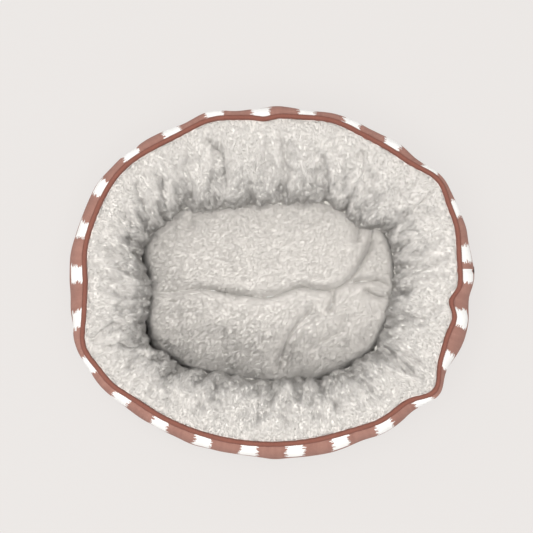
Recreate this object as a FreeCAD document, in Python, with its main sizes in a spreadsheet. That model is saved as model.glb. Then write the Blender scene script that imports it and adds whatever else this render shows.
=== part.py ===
import FreeCAD, Part
import math
import os
import Sketcher

# An oval, soft-sided pet bed. Its plan is an oval of four tangent arcs, and every
# layer of its wall is one closed section swept round that oval. From the outside inwards the
# wall is a printed cloth cover, a standing foam sheet and a ring of fibre filling. A plush
# cover rolls over the top of the filling, from the rim binding to an elastic that gathers its
# inner edge, and a plush lining drops from there to the floor. The base is a cloth cover, a
# foam pad and a floor lining, with a piped seam round its edge. A loose plush cushion lies in
# the nest and lifts straight out.
#
# The origin is on the floor under the middle of the bed. +X runs along the length, +Y to the
# back and +Z up. Sizes are in millimetres.

SIZES = [
    ("half_width", 218.5, "middle to the outermost line of the wall, along Y"),
    ("end_reach", 31.5, "how much further the wall's ends are from the middle than its sides"),
    ("bed_height", 160, "floor to the top of the plush roll"),
    ("end_fullness", 1.3, "end arc centre, as a multiple of end_reach: fuller as it nears 1"),
    ("bolster_width", 100, "outermost line of the wall to the inner lip of the roll"),
    ("belly_height", 60, "height above which the outer wall stands straight up"),
    ("foot_inset", 5, "how far the wall tucks in at its bottom seam"),
    ("seam_angle", 55, "place of the rim seam on the roll, degrees up from level"),
    ("cover_thickness", 1.2, "printed cotton of the outer wall"),
    ("foam_thickness", 15, "standing foam sheet in the wall"),
    ("foam_setback", 5, "foam sheet's top edge, degrees short of the cover's top edge"),
    ("plush_thickness", 6, "plush cloth with its pile, over the roll"),
    ("hem_angle", 200, "where the plush is hemmed under the lip, degrees round from level"),
    ("binding_radius", 3.6, "rolled binding at the rim seam"),
    ("binding_sink", 1, "middle of the binding below the roll's surface"),
    ("elastic_radius", 2.5, "elastic in the hem"),
    ("lining_thickness", 3, "plush lining of the inner wall"),
    ("piping_radius", 3, "corded piping at the base seam"),
    ("base_cover_thickness", 1.2, "slip-resistant cloth under the bed"),
    ("base_pad_thickness", 10, "foam pad in the base"),
    ("floor_lining_thickness", 1, "cloth that closes the nest floor"),
    ("cushion_gap", 1.2, "between the cushion's edge and the lip it lifts past"),
    ("cushion_height", 60, "loose cushion, from its underside to its crown"),
    ("cushion_edge_radius", 24, "rounding of the cushion's upper edge"),
    ("cushion_plush_thickness", 5, "plush cover of the cushion"),
    ("cushion_cloth_thickness", 1, "plain cloth under the cushion"),
    ("label_width", 12, "blank label on the wall's join, along the wall"),
    ("label_height", 25, "blank label, up the wall"),
    ("label_thickness", 2, "blank label, folded double"),
    ("label_foot", 80, "floor to the label's lower edge"),
    ("label_offset", 13, "from the bed's long axis to the label's middle"),
    ("ease", 0.3, "room left between layers that lie against each other"),
]

# Places that several pieces share, worked out from the sheet.
HALF_LENGTH = "(Sizes.half_width + Sizes.end_reach)"
END_CENTRE = "(Sizes.end_fullness * Sizes.end_reach)"
SIDE_CENTRE = (
    "((2 * Sizes.end_fullness - 1) / (2 * Sizes.end_fullness - 2) * Sizes.end_reach)"
)
CROWN_RADIUS = "(Sizes.bolster_width / 2)"
CROWN_X = f"({HALF_LENGTH} - {CROWN_RADIUS})"
CROWN_Z = f"(Sizes.bed_height - {CROWN_RADIUS})"
PIPING_X = f"({HALF_LENGTH} - Sizes.foot_inset - Sizes.cover_thickness / 2)"
PIPING_Z = "(Sizes.base_cover_thickness + Sizes.ease + Sizes.piping_radius)"
FOOT_Z = f"({PIPING_Z} + Sizes.piping_radius + Sizes.ease)"
FOOT_LEAN = f"(Sizes.foot_inset / (Sizes.belly_height - {FOOT_Z}))"
PAD_TOP = "(Sizes.base_cover_thickness + Sizes.base_pad_thickness)"
NEST_FLOOR = f"({PAD_TOP} + Sizes.floor_lining_thickness)"
FOAM_OUT = "(Sizes.cover_thickness + Sizes.ease)"
FOAM_IN = f"({FOAM_OUT} + Sizes.foam_thickness)"
SEAM_HALF_ANGLE = f"((Sizes.binding_radius + Sizes.ease) / {CROWN_RADIUS} * 180 / pi)"
COVER_TOP = f"(Sizes.seam_angle - {SEAM_HALF_ANGLE})"
PLUSH_START = f"(Sizes.seam_angle + {SEAM_HALF_ANGLE})"
FOAM_TOP = f"({COVER_TOP} - Sizes.foam_setback)"
PLUSH_MIDDLE = f"({CROWN_RADIUS} - Sizes.plush_thickness / 2)"
ELASTIC_ANGLE = (
    f"(Sizes.hem_angle + (Sizes.elastic_radius + Sizes.ease) / {PLUSH_MIDDLE} * 180 / pi)"
)
ELASTIC_X = f"({CROWN_X} + {PLUSH_MIDDLE} * cos({ELASTIC_ANGLE}))"
ELASTIC_Z = f"({CROWN_Z} + {PLUSH_MIDDLE} * sin({ELASTIC_ANGLE}))"
LINING_TOP = f"({ELASTIC_Z} - Sizes.elastic_radius - Sizes.ease)"

doc = FreeCAD.newDocument("pet_bed")
sheet = doc.addObject("Spreadsheet::Sheet", "Sizes")
for row, (alias, number, note) in enumerate(SIZES, start=1):
    sheet.set(f"A{row}", alias)
    sheet.set(f"B{row}", str(number))
    sheet.set(f"C{row}", note)
    sheet.setAlias(f"B{row}", alias)
doc.recompute()


def value(expression):
    """The number that an expression over the sheet gives."""
    return float(sheet.evalExpression(expression))


def new_body(label):
    body = doc.addObject("PartDesign::Body", label)
    body.Label = label
    return body


def new_sketch(body, name, role):
    """A sketch on one of its own body's origin planes."""
    sketch = body.newObject("Sketcher::SketchObject", f"{body.Name}_{name}")
    plane = next(p for p in body.Origin.OriginFeatures if p.Role == role)
    sketch.AttachmentSupport = [(plane, "")]
    sketch.MapMode = "FlatFace"
    return sketch


def bind(sketch, expression, kind, *where):
    """Adds a dimension to a sketch and ties it to the sheet."""
    number = sketch.addConstraint(Sketcher.Constraint(kind, *where, value(expression)))
    sketch.setExpression(f"Constraints[{number}]", expression)


def draw_oval(body, name, inset="0"):
    """The bed's four-arc oval, drawn inset from its outermost line, on the floor plane."""
    sketch = new_sketch(body, name, "XY_Plane")
    end_x = value(END_CENTRE)
    side_y = value(SIDE_CENTRE)
    end_radius = value(f"{HALF_LENGTH} - {END_CENTRE} - ({inset})")
    side_radius = value(f"Sizes.half_width + {SIDE_CENTRE} - ({inset})")
    turn = math.atan2(side_y, end_x)
    up = FreeCAD.Vector(0, 0, 1)
    arcs = [
        (FreeCAD.Vector(end_x, 0, 0), end_radius, -turn, turn),
        (FreeCAD.Vector(0, -side_y, 0), side_radius, turn, math.pi - turn),
        (FreeCAD.Vector(-end_x, 0, 0), end_radius, math.pi - turn, math.pi + turn),
        (FreeCAD.Vector(0, side_y, 0), side_radius, math.pi + turn, 2 * math.pi - turn),
    ]
    right, back, left, front = (
        sketch.addGeometry(Part.ArcOfCircle(Part.Circle(centre, up, radius), start, end), False)
        for centre, radius, start, end in arcs
    )
    for one, other in ((right, back), (back, left), (left, front), (front, right)):
        sketch.addConstraint(Sketcher.Constraint("Tangent", one, 2, other, 1))
    sketch.addConstraint(Sketcher.Constraint("PointOnObject", right, 3, -1))
    sketch.addConstraint(Sketcher.Constraint("Symmetric", right, 3, left, 3, -1, 1))
    sketch.addConstraint(Sketcher.Constraint("Equal", right, left))
    bind(sketch, END_CENTRE, "DistanceX", -1, 1, right, 3)
    bind(sketch, SIDE_CENTRE, "DistanceY", back, 3, -1, 1)
    bind(sketch, SIDE_CENTRE, "DistanceY", -1, 1, front, 3)
    bind(sketch, f"{HALF_LENGTH} - {END_CENTRE} - ({inset})", "Radius", right)
    return sketch


def arc_between(start, end, radius, hollow):
    """An arc from start to end. It bulges to the right of that direction, or to the left if hollow."""
    middle = (start + end) / 2
    along = end - start
    rise = math.sqrt(radius**2 - (along.Length / 2) ** 2)
    side = FreeCAD.Vector(-along.y, along.x, 0).normalize()
    centre = middle - side * rise if hollow else middle + side * rise
    circle = Part.Circle(centre, FreeCAD.Vector(0, 0, 1), radius)
    first, last = (end, start) if hollow else (start, end)
    angles = [math.atan2(p.y - centre.y, p.x - centre.x) for p in (first, last)]
    return Part.ArcOfCircle(circle, *angles)


def draw_section(body, corners):
    """A closed section of the wall, on the upright plane through its +X end. Each corner is
    (x, z) or (x, z, radius, hollow), where the last two shape the arc that leaves it."""
    sketch = new_sketch(body, "section", "XZ_Plane")
    points = [FreeCAD.Vector(value(c[0]), value(c[1]), 0) for c in corners]
    ends = []
    for number, corner in enumerate(corners):
        start = points[number]
        end = points[(number + 1) % len(points)]
        if len(corner) == 2:
            edge = sketch.addGeometry(Part.LineSegment(start, end), False)
            ends.append((edge, 1, 2))
        else:
            radius, hollow = corner[2:]
            arc = arc_between(start, end, value(radius), hollow)
            edge = sketch.addGeometry(arc, False)
            ends.append((edge, 2, 1) if hollow else (edge, 1, 2))
            bind(sketch, radius, "Radius", edge)
    for number, (edge, first, last) in enumerate(ends):
        next_edge, next_first, _ = ends[(number + 1) % len(ends)]
        sketch.addConstraint(
            Sketcher.Constraint("Coincident", edge, last, next_edge, next_first)
        )
        bind(sketch, corners[number][0], "DistanceX", -1, 1, edge, first)
        bind(sketch, corners[number][1], "DistanceY", -1, 1, edge, first)
    return sketch


def draw_round_section(body, x, z, radius):
    """A round section of the wall, such as a cord's."""
    sketch = new_sketch(body, "section", "XZ_Plane")
    centre = FreeCAD.Vector(value(x), value(z), 0)
    circle = Part.Circle(centre, FreeCAD.Vector(0, 0, 1), value(radius))
    edge = sketch.addGeometry(circle, False)
    bind(sketch, radius, "Radius", edge)
    bind(sketch, x, "DistanceX", -1, 1, edge, 3)
    bind(sketch, z, "DistanceY", -1, 1, edge, 3)
    return sketch


def sweep_round(body, section):
    """Sweeps a section of the wall once round the oval."""
    path = draw_oval(body, "path")
    doc.recompute()
    pipe = body.newObject("PartDesign::AdditivePipe", f"{body.Name}_sweep")
    pipe.Profile = section
    pipe.Spine = (path, [f"Edge{n}" for n in range(1, 5)])
    section.Visibility = False
    return pipe


def oval_pad(label, inset, bottom, thickness):
    """A flat oval panel, inset from the outermost line of the wall."""
    body = new_body(label)
    outline = draw_oval(body, "outline", inset)
    pad = body.newObject("PartDesign::Pad", f"{label}_pad")
    pad.Profile = outline
    pad.setExpression("Length", thickness)
    body.setExpression("Placement.Base.z", bottom)
    return body


def rounded_pad(label, inset, bottom, thickness, edge_radius):
    """A flat oval panel whose upper edge is rounded over."""
    body = oval_pad(label, inset, bottom, thickness)
    doc.recompute()
    pad = body.Tip
    faces = pad.Shape.Faces
    top = max(range(len(faces)), key=lambda n: faces[n].CenterOfMass.z)
    rounding = body.newObject("PartDesign::Fillet", f"{label}_edge")
    rounding.Base = (pad, [f"Face{top + 1}"])
    rounding.setExpression("Radius", edge_radius)
    return body


def on_crown(radius, angle):
    """A place on the roll, by its distance from the roll's centre and its angle from level."""
    return (
        f"{CROWN_X} + ({radius}) * cos({angle})",
        f"{CROWN_Z} + ({radius}) * sin({angle})",
    )


def wall_x(depth, z):
    """Where a layer that lies this deep in the wall's leaning foot is at height z."""
    return f"{HALF_LENGTH} - ({depth}) - {FOOT_LEAN} * (Sizes.belly_height - ({z}))"


def wall_layer(label, outer, inner, bottom, top_angle):
    """A layer of the outer wall between two depths: it leans out to the belly, stands straight
    above it and bends over the shoulder as far as top_angle."""
    body = new_body(label)
    outside_x = f"{HALF_LENGTH} - ({outer})"
    inside_x = f"{HALF_LENGTH} - ({inner})"
    section = draw_section(
        body,
        [
            (wall_x(outer, bottom), bottom),
            (outside_x, "Sizes.belly_height"),
            (outside_x, CROWN_Z, f"{CROWN_RADIUS} - ({outer})", False),
            on_crown(f"{CROWN_RADIUS} - ({outer})", top_angle),
            (*on_crown(f"{CROWN_RADIUS} - ({inner})", top_angle),
             f"{CROWN_RADIUS} - ({inner})", True),
            (inside_x, CROWN_Z),
            (inside_x, "Sizes.belly_height"),
            (wall_x(inner, bottom), bottom),
        ],
    )
    sweep_round(body, section)
    return body


# Outer wall: the printed cover and the foam sheet that keeps it upright.
outer_wall_cover = wall_layer(
    "outer_wall_cover", "0", "Sizes.cover_thickness", FOOT_Z, COVER_TOP
)
wall_foam = wall_layer("wall_foam", FOAM_OUT, FOAM_IN, PAD_TOP, FOAM_TOP)

# Fibre filling: fills the wall behind the foam and the roll under the plush.
FILL_DEPTH = f"({FOAM_IN} + Sizes.ease)"
FILL_RADIUS = f"({CROWN_RADIUS} - Sizes.plush_thickness - Sizes.ease)"
FILL_INNER_X = f"({ELASTIC_X} + Sizes.elastic_radius + Sizes.ease)"
FILL_STEP_ANGLE = f"({FOAM_TOP} + Sizes.ease / ({CROWN_RADIUS} - {FOAM_IN}) * 180 / pi)"
bolster_filling = new_body("bolster_filling")
sweep_round(
    bolster_filling,
    draw_section(
        bolster_filling,
        [
            (wall_x(FILL_DEPTH, PAD_TOP), PAD_TOP),
            (f"{HALF_LENGTH} - {FILL_DEPTH}", "Sizes.belly_height"),
            (f"{HALF_LENGTH} - {FILL_DEPTH}", CROWN_Z, f"{CROWN_RADIUS} - {FILL_DEPTH}", False),
            on_crown(f"{CROWN_RADIUS} - {FILL_DEPTH}", FILL_STEP_ANGLE),
            (*on_crown(FILL_RADIUS, FILL_STEP_ANGLE), FILL_RADIUS, False),
            (FILL_INNER_X,
             f"{CROWN_Z} - sqrt({FILL_RADIUS}^2 - ({CROWN_X} - {FILL_INNER_X})^2)"),
            (FILL_INNER_X, PAD_TOP),
        ],
    ),
)

# Plush cover of the roll: from the rim seam, over the top, to its hem under the lip.
PLUSH_BACK = f"({CROWN_RADIUS} - Sizes.plush_thickness)"
bolster_plush_cover = new_body("bolster_plush_cover")
sweep_round(
    bolster_plush_cover,
    draw_section(
        bolster_plush_cover,
        [
            (*on_crown(CROWN_RADIUS, PLUSH_START), CROWN_RADIUS, False),
            on_crown(CROWN_RADIUS, "Sizes.hem_angle"),
            (*on_crown(PLUSH_BACK, "Sizes.hem_angle"), PLUSH_BACK, True),
            on_crown(PLUSH_BACK, PLUSH_START),
        ],
    ),
)

# Rim binding: a rolled strip of the wall's own cloth, sewn in between cover and plush.
rim_binding = new_body("rim_binding")
BINDING_X, BINDING_Z = on_crown(f"{CROWN_RADIUS} - Sizes.binding_sink", "Sizes.seam_angle")
sweep_round(
    rim_binding, draw_round_section(rim_binding, BINDING_X, BINDING_Z, "Sizes.binding_radius")
)

# Elastic: runs round in the plush's hem and draws it into gathers.
lip_elastic = new_body("lip_elastic")
sweep_round(
    lip_elastic, draw_round_section(lip_elastic, ELASTIC_X, ELASTIC_Z, "Sizes.elastic_radius")
)

# Inner wall lining: hangs from the hem to the nest floor.
inner_wall_lining = new_body("inner_wall_lining")
LINING_FRONT = f"({ELASTIC_X} - Sizes.lining_thickness / 2)"
LINING_BACK = f"({ELASTIC_X} + Sizes.lining_thickness / 2)"
sweep_round(
    inner_wall_lining,
    draw_section(
        inner_wall_lining,
        [
            (LINING_FRONT, NEST_FLOOR),
            (LINING_BACK, NEST_FLOOR),
            (LINING_BACK, LINING_TOP),
            (LINING_FRONT, LINING_TOP),
        ],
    ),
)

# Base: the cloth underneath, its piped seam, the foam pad and the cloth of the nest floor.
base_piping = new_body("base_piping")
sweep_round(
    base_piping, draw_round_section(base_piping, PIPING_X, PIPING_Z, "Sizes.piping_radius")
)
base_cover = oval_pad(
    "base_cover", f"{HALF_LENGTH} - {PIPING_X}", "0", "Sizes.base_cover_thickness"
)
base_pad = oval_pad(
    "base_pad",
    f"{HALF_LENGTH} - {PIPING_X} + Sizes.piping_radius + Sizes.ease",
    "Sizes.base_cover_thickness",
    "Sizes.base_pad_thickness",
)
floor_lining = oval_pad(
    "floor_lining",
    f"{HALF_LENGTH} - {LINING_BACK}",
    PAD_TOP,
    "Sizes.floor_lining_thickness",
)

# Loose cushion: a plush case and its plain underside, round a fibre filling. Its edge clears
# the lip, so that it lifts straight out of the nest.
CUSHION_INSET = "(Sizes.bolster_width + Sizes.cushion_gap)"
CASE_BOTTOM = f"({NEST_FLOOR} + Sizes.cushion_cloth_thickness)"
CASE_HEIGHT = "(Sizes.cushion_height - Sizes.cushion_cloth_thickness)"
HOLLOW_HEIGHT = f"({CASE_HEIGHT} - Sizes.cushion_plush_thickness)"
HOLLOW_RADIUS = "(Sizes.cushion_edge_radius - Sizes.cushion_plush_thickness)"
cushion_underside = oval_pad(
    "cushion_underside", CUSHION_INSET, NEST_FLOOR, "Sizes.cushion_cloth_thickness"
)
cushion_filling = rounded_pad(
    "cushion_filling",
    f"{CUSHION_INSET} + Sizes.cushion_plush_thickness + Sizes.ease",
    CASE_BOTTOM,
    f"{HOLLOW_HEIGHT} - Sizes.ease",
    f"{HOLLOW_RADIUS} - Sizes.ease",
)
case_outside = rounded_pad(
    "cushion_case_outside", CUSHION_INSET, CASE_BOTTOM, CASE_HEIGHT, "Sizes.cushion_edge_radius"
)
case_inside = rounded_pad(
    "cushion_case_inside",
    f"{CUSHION_INSET} + Sizes.cushion_plush_thickness",
    CASE_BOTTOM,
    HOLLOW_HEIGHT,
    HOLLOW_RADIUS,
)
cushion_plush_cover = doc.addObject("Part::Cut", "cushion_plush_cover")
cushion_plush_cover.Label = "cushion_plush_cover"
cushion_plush_cover.Base = case_outside
cushion_plush_cover.Tool = case_inside

# Side label: a small blank tab, sewn flat on the wall over its upright join.
side_label = doc.addObject("Part::Box", "side_label")
side_label.Label = "side_label"
END_RADIUS = f"({HALF_LENGTH} - {END_CENTRE})"
LABEL_ANGLE = f"asin(Sizes.label_offset / {END_RADIUS})"
LABEL_REACH = f"({END_RADIUS} + Sizes.ease)"
HALF_LABEL = "Sizes.label_width / 2"
side_label.setExpression("Length", "Sizes.label_thickness")
side_label.setExpression("Width", "Sizes.label_width")
side_label.setExpression("Height", "Sizes.label_height")
side_label.setExpression("Placement.Rotation.Angle", LABEL_ANGLE)
side_label.setExpression(
    "Placement.Base.x",
    f"{END_CENTRE} + {LABEL_REACH} * cos({LABEL_ANGLE}) + {HALF_LABEL} * sin({LABEL_ANGLE})",
)
side_label.setExpression(
    "Placement.Base.y",
    f"{LABEL_REACH} * sin({LABEL_ANGLE}) - {HALF_LABEL} * cos({LABEL_ANGLE})",
)
side_label.setExpression("Placement.Base.z", "Sizes.label_foot")

doc.recompute()

SUB_PARTS = [
    outer_wall_cover,
    wall_foam,
    bolster_filling,
    bolster_plush_cover,
    rim_binding,
    lip_elastic,
    inner_wall_lining,
    base_piping,
    base_cover,
    base_pad,
    floor_lining,
    cushion_underside,
    cushion_filling,
    cushion_plush_cover,
    side_label,
]

for item in doc.Objects:
    if "Invalid" in item.State or "Error" in item.State:
        raise RuntimeError(f"{item.Name} failed to build: {item.State}")
for part in SUB_PARTS:
    if part.Shape.isNull() or not part.Shape.isValid() or not part.Shape.Solids:
        raise RuntimeError(f"{part.Label} has no valid solid")

os.makedirs("parts", exist_ok=True)
for part in SUB_PARTS:
    part.Shape.exportStep(f"parts/{part.Label}.step")
    box = part.Shape.optimalBoundingBox(False, False)
    print(
        f"{part.Label}: {part.Shape.Volume / 1000:.1f} cm3,"
        f" x {box.XMin:.1f} to {box.XMax:.1f}, y {box.YMin:.1f} to {box.YMax:.1f},"
        f" z {box.ZMin:.1f} to {box.ZMax:.1f}"
    )
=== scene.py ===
import math

import bmesh
import bpy
import numpy as np
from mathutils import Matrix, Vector, noise


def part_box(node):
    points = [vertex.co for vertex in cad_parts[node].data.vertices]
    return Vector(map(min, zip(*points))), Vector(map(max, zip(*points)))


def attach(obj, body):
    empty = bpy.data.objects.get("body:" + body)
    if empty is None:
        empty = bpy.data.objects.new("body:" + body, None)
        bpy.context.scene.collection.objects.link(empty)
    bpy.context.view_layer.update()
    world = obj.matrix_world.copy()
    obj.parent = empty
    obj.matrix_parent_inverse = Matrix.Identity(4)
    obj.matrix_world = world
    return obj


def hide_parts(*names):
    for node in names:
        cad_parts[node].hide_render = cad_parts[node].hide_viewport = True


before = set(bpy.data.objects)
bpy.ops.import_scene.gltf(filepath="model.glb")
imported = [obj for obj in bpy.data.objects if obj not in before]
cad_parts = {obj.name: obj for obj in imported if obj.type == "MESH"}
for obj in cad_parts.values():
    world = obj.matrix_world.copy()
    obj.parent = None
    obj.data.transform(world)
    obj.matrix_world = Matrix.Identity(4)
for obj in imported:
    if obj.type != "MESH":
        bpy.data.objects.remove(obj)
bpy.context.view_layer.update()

bpy.ops.object.select_all(action="DESELECT")


# ---- Base cover ----------------------------------------------------------------------------
# The underside of the bed is one oval of slip-resistant cloth, sewn to the wall all round.
# Small rubber dots are printed on it in staggered rows, and only they touch the floor.

bed_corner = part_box("outer_wall_cover")[1]
half_length, half_width = bed_corner.x, bed_corner.y
end_centre = 0.041                      # from the middle of the bed to the centre of an end arc
end_radius = half_length - end_centre
side_rise = half_width - end_radius
side_centre = (end_centre ** 2 - side_rise ** 2) / (2 * side_rise)
side_radius = half_width + side_centre
end_turn = math.atan2(side_centre, end_centre)
arc_lengths = np.cumsum([
    0,
    end_radius * end_turn,
    side_radius * (math.pi - 2 * end_turn),
    end_radius * 2 * end_turn,
    side_radius * (math.pi - 2 * end_turn),
    end_radius * end_turn,
])
perimeter = arc_lengths[-1]


def directions(columns):
    """Outward directions of the oval at evenly spaced places, from the middle of the right end round."""
    bends = [0, end_turn, math.pi - end_turn, math.pi + end_turn, 2 * math.pi - end_turn, 2 * math.pi]
    angle = np.interp(np.arange(columns) / columns * perimeter, arc_lengths, bends)
    return np.stack([np.cos(angle), np.sin(angle)], 1)


def oval(inset, columns):
    """The bed's outline moved inwards by inset, as an array of x and y."""
    out = directions(columns)
    side = np.abs(out[:, 1]) > math.sin(end_turn)
    centre_x = np.where(side, 0, np.sign(out[:, 0]) * end_centre)
    centre_y = np.where(side, -np.sign(out[:, 1]) * side_centre, 0)
    reach = np.where(side, side_radius, end_radius) - inset
    return np.stack([centre_x + reach * out[:, 0], centre_y + reach * out[:, 1]], 1)


def oval_row(inset, height, columns):
    """One ring of points of the oval at a height, with inset and height as numbers or one per column."""
    row = np.zeros((columns, 3))
    row[:, :2] = oval(inset, columns)
    row[:, 2] = height
    return row


def ring_faces(rows, columns, closed=False):
    """Quads between rings of points that lie one after the other, as indices."""
    index = np.arange(rows * columns).reshape(rows, columns)
    following = np.roll(index, -1, axis=0) if closed else index[1:]
    current = index if closed else index[:-1]
    quads = [current, np.roll(current, -1, axis=1), np.roll(following, -1, axis=1), following]
    return np.stack(quads, 2).reshape(-1, 4)


def new_piece(name, points, faces):
    """A mesh object from points and faces, in place, with smooth faces."""
    mesh = bpy.data.meshes.new(name)
    mesh.from_pydata(np.asarray(points).reshape(-1, 3).tolist(), [], np.asarray(faces).tolist())
    mesh.shade_smooth()
    piece = bpy.data.objects.new(name, mesh)
    bpy.context.collection.objects.link(piece)
    return piece


def face_outwards(piece, close=True):
    """Closes the piece's open rims and turns its faces outwards."""
    form = bmesh.new()
    form.from_mesh(piece.data)
    if close:
        rims = [e for e in form.edges if e.is_boundary]
        bmesh.ops.holes_fill(form, edges=rims, sides=0)
    bmesh.ops.recalc_face_normals(form, faces=form.faces)
    form.to_mesh(piece.data)
    form.free()


def apply_modifiers(piece):
    """Applies the piece's modifiers in order."""
    bpy.ops.object.select_all(action="DESELECT")
    piece.select_set(True)
    bpy.context.view_layer.objects.active = piece
    for name in [m.name for m in piece.modifiers]:
        bpy.ops.object.modifier_apply(modifier=name)
    piece.select_set(False)


def new_material(name, roughness):
    """A material with its nodes, its links and its Principled shader."""
    finish = bpy.data.materials.new(name)
    finish.use_nodes = True
    nodes, links = finish.node_tree.nodes, finish.node_tree.links
    shader = nodes["Principled BSDF"]
    shader.inputs["Roughness"].default_value = roughness
    return finish, nodes, links, shader


def math_node(tree, operation, first, second=None, third=None):
    """A Math node in a tree; its inputs are sockets or plain numbers."""
    node = tree.nodes.new("ShaderNodeMath")
    node.operation = operation
    for socket, value in zip(node.inputs, (first, second, third)):
        if isinstance(value, bpy.types.NodeSocket):
            tree.links.new(value, socket)
        elif value is not None:
            socket.default_value = value
    return node.outputs[0]


def mixed(tree, share, first, second):
    """A colour between two, by share; each is a socket or a colour."""
    node = tree.nodes.new("ShaderNodeMix")
    node.data_type = "RGBA"
    for socket, value in ((node.inputs[0], share), (node.inputs[6], first), (node.inputs[7], second)):
        if isinstance(value, bpy.types.NodeSocket):
            tree.links.new(value, socket)
        else:
            socket.default_value = value
    return node.outputs[2]


def noise_value(tree, place, scale, detail=2.0, roughness=0.5):
    """A Noise Texture's value at a place."""
    node = tree.nodes.new("ShaderNodeTexNoise")
    node.inputs["Scale"].default_value = scale
    node.inputs["Detail"].default_value = detail
    node.inputs["Roughness"].default_value = roughness
    tree.links.new(place, node.inputs["Vector"])
    return node.outputs[0]


def add_bump(tree, shader, height, distance, strength=1.0):
    """Bumps a shader's surface by a height between 0 and 1."""
    node = tree.nodes.new("ShaderNodeBump")
    node.inputs["Distance"].default_value = distance
    node.inputs["Strength"].default_value = strength
    tree.links.new(height, node.inputs["Height"])
    tree.links.new(node.outputs[0], shader.inputs["Normal"])


def make_weave():
    """The weave group: threads that cross over and under, from a place in metres on the cloth."""
    group = bpy.data.node_groups.new("weave", "ShaderNodeTree")
    group.interface.new_socket("Place", in_out="INPUT", socket_type="NodeSocketVector")
    group.interface.new_socket("Thread", in_out="INPUT", socket_type="NodeSocketFloat")
    group.interface.new_socket("Height", in_out="OUTPUT", socket_type="NodeSocketFloat")
    group.interface.new_socket("Shade", in_out="OUTPUT", socket_type="NodeSocketFloat")
    entry = group.nodes.new("NodeGroupInput")
    leave = group.nodes.new("NodeGroupOutput")
    split = group.nodes.new("ShaderNodeSeparateXYZ")
    group.links.new(entry.outputs["Place"], split.inputs[0])
    turns = math_node(group, "DIVIDE", math.pi, entry.outputs["Thread"])
    warp = math_node(group, "SINE", math_node(group, "MULTIPLY", split.outputs[0], turns))
    weft = math_node(group, "SINE", math_node(group, "MULTIPLY", split.outputs[1], turns))
    crossing = math_node(group, "MULTIPLY", warp, weft)
    height = math_node(group, "MULTIPLY_ADD", crossing, 0.5, 0.5)
    slub = noise_value(group, entry.outputs["Place"], 420, 3)
    shade = math_node(group, "MULTIPLY_ADD", height, 0.35, math_node(group, "MULTIPLY", slub, 0.65))
    group.links.new(height, leave.inputs["Height"])
    group.links.new(shade, leave.inputs["Shade"])
    return group


weave = make_weave()


def woven(tree, place, thread):
    """Height and shade of a weave of the given thread width, in metres."""
    node = tree.nodes.new("ShaderNodeGroup")
    node.node_tree = weave
    node.inputs["Thread"].default_value = thread
    tree.links.new(place, node.inputs["Place"])
    return node.outputs["Height"], node.outputs["Shade"]


def object_place(tree):
    """The socket that gives a place on the object, in metres."""
    return tree.nodes.new("ShaderNodeTexCoord").outputs["Object"]


def cloth_finish(name, dark, light, thread, roughness=0.9, depth=0.0002):
    """Plain woven cloth between two colours, patterned by its place on the object."""
    finish, nodes, links, shader = new_material(name, roughness)
    tree = finish.node_tree
    height, shade = woven(tree, object_place(tree), thread)
    links.new(mixed(tree, shade, dark, light), shader.inputs["Base Color"])
    add_bump(tree, shader, height, depth)
    return finish


base_columns = 240
base_low, base_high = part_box("base_cover")
base_inset = half_length - base_high.x
dot_rise = 0.0006
seam_gathers = 0.0011                   # how far the edge draws in between its stitches
base_rings = [0.0, 0.004, 0.012, 0.03, 0.06, 0.1, 0.14, 0.18]


def base_row(ring, height):
    draw = seam_gathers * math.exp(-ring / 0.01) * np.abs(np.sin(np.arange(base_columns) * math.pi / 2))
    return oval_row(base_inset + ring + draw, height, base_columns)


cloth_bottom = base_low.z + dot_rise
cloth_top = base_high.z - 0.0001
base_points = [base_row(r, cloth_bottom) for r in reversed(base_rings)]
base_points += [base_row(r, cloth_top) for r in base_rings]
base_cloth = new_piece("base_cloth", base_points, ring_faces(len(base_points), base_columns))
face_outwards(base_cloth)

grip_cloth = cloth_finish("slip_resistant_cloth", (0.11, 0.1, 0.095, 1), (0.2, 0.185, 0.17, 1), 0.0009)
base_cloth.data.materials.append(grip_cloth)
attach(base_cloth, "bed")
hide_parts("base_cover")

dot_pitch, dot_radius = 0.0105, 0.0018
bpy.ops.mesh.primitive_cylinder_add(vertices=8, radius=dot_radius, depth=dot_rise + 0.0002)
dot = bpy.context.object
bpy.ops.object.mode_set(mode="EDIT")
form = bmesh.from_edit_mesh(dot.data)
for face in form.faces:
    face.select_set(face.normal.z < -0.5)
bmesh.update_edit_mesh(dot.data)
bpy.ops.mesh.bevel(offset=0.0003, segments=1)
bpy.ops.object.mode_set(mode="OBJECT")
dot_points = np.array([v.co for v in dot.data.vertices])
dot_faces = [list(p.vertices) for p in dot.data.polygons]
bpy.data.objects.remove(dot)
dot_places = []
for row, y in enumerate(np.arange(-half_width, half_width, dot_pitch * 0.87)):
    for x in np.arange(-half_length + dot_pitch / 2 * (row % 2), half_length, dot_pitch):
        end = max(abs(x) - end_centre, 0)
        inside_end = math.hypot(end, y) < end_radius - 0.014
        inside_side = math.hypot(x, abs(y) + side_centre) < side_radius - 0.014
        if inside_end and inside_side:
            dot_places.append((x, y, (dot_rise + 0.0002) / 2))
grip_points = (np.array(dot_places)[:, None, :] + dot_points[None]).reshape(-1, 3)
grip_faces = [[v + i * len(dot_points) for v in f] for i in range(len(dot_places)) for f in dot_faces]
grip_mesh = bpy.data.meshes.new("grip_dots")
grip_mesh.from_pydata(grip_points.tolist(), [], grip_faces)
grip_dots = bpy.data.objects.new("grip_dots", grip_mesh)
bpy.context.collection.objects.link(grip_dots)
rubber, nodes, links, shader = new_material("grip_rubber", 0.55)
rub = noise_value(rubber.node_tree, object_place(rubber.node_tree), 90, 3)
links.new(
    mixed(rubber.node_tree, rub, (0.02, 0.02, 0.02, 1), (0.06, 0.055, 0.05, 1)),
    shader.inputs["Base Color"],
)
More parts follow.
